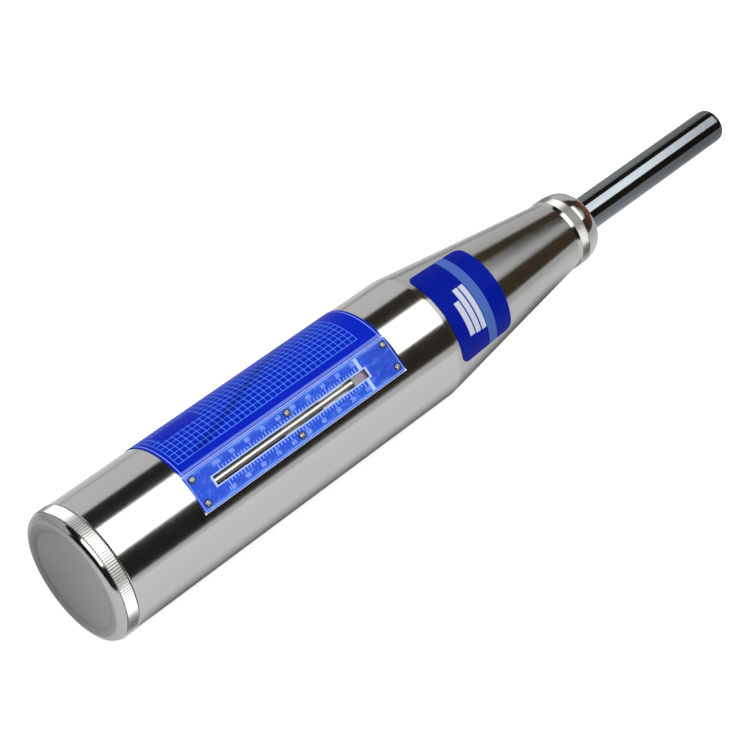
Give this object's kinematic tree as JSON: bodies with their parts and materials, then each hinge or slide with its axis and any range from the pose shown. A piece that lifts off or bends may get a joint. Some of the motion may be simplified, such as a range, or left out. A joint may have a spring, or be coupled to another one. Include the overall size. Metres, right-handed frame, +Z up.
{
  "type": "concrete test hammer",
  "caption": "spring-driven rebound hammer with a long striking plunger, knurled tail cap, tapered metal body and a slotted scale with a sliding pointer",
  "frame": {"origin": "on the floor under the middle of the whole length, with the hammer lying on its side", "axes": "+X along the hammer's axis towards the plunger's striking end, +Z up, -Y towards the viewer; the scale faces up and to -Y"},
  "size_m": [0.3616, 0.0544, 0.0544],
  "materials": {
    "satin_metal": "fine turned satin",
    "blue_plate": "anodised, printed white",
    "blue_label": "printed film",
    "polished_steel": "ground and polished",
    "machined_steel": "machined",
    "dark_steel": "hardened, oiled",
    "spring_wire": "drawn wire",
    "bronze": "bored",
    "felt": "pressed felt"
  },
  "bodies": {
    "housing": {"housing": "satin_metal", "tail_cap": "satin_metal", "trip_screw": "dark_steel", "trip_lock_nut": "machined_steel", "nose_cap": "satin_metal", "felt_seal": "felt", "plunger_bush": "bronze", "spring_seat": "machined_steel", "clamp_rings": "machined_steel", "scale_plate": "blue_plate", "scale_screws": "machined_steel", "chart_label": "blue_label", "name_label": "blue_label", "pointer_rod": "polished_steel", "button_bush": "machined_steel", "button_spring": "spring_wire", "impact_spring": "spring_wire", "compression_spring": "spring_wire"},
    "carriage": {"guide_rod": "polished_steel", "guide_flange": "machined_steel", "pawl_pin": "dark_steel", "pawl_spring": "spring_wire"},
    "hammer": {"hammer_mass": "polished_steel"},
    "plunger": {"plunger": "polished_steel", "buffer_spring": "spring_wire"},
    "pawl": {"pawl": "dark_steel"},
    "pointer": {"pointer_rider": "machined_steel", "pointer_leaf": "machined_steel"},
    "button": {"lock_button": "dark_steel"}
  },
  "joints": [
    {"name": "plunger_press", "type": "slide", "parent": "housing", "child": "carriage", "axis": [-1, 0, 0], "range_m": [0, 0.078], "stiffness_N_per_m": 250, "springref_m": -0.03, "deforming": ["compression_spring", "impact_spring"]},
    {"name": "plunger_buffer", "type": "slide", "parent": "carriage", "child": "plunger", "axis": [-1, 0, 0], "range_m": [0, 0.003], "stiffness_N_per_m": 2000, "springref_m": -0.002, "deforming": ["buffer_spring"]},
    {"name": "hammer_strike", "type": "slide", "parent": "carriage", "child": "hammer", "axis": [1, 0, 0], "range_m": [0, 0.075], "stiffness_N_per_m": 785, "deforming": ["impact_spring"]},
    {"name": "pawl_swing", "type": "hinge", "parent": "carriage", "child": "pawl", "pos_m": [-0.08378, -0.01164, 0.01855], "axis": [0, 0.5962, -0.8028], "range_deg": [0, 10], "stiffness_Nm_per_rad": 0.02, "springref_deg": -11.46, "deforming": ["pawl_spring"]},
    {"name": "pointer_slide", "type": "slide", "parent": "housing", "child": "pointer", "axis": [-1, 0, 0], "range_m": [0, 0.075]},
    {"name": "button_press", "type": "slide", "parent": "housing", "child": "button", "axis": [0, -0.5962, 0.8028], "range_m": [0, 0.0025], "stiffness_N_per_m": 600, "springref_m": -0.002, "deforming": ["button_spring"]}
  ]
}
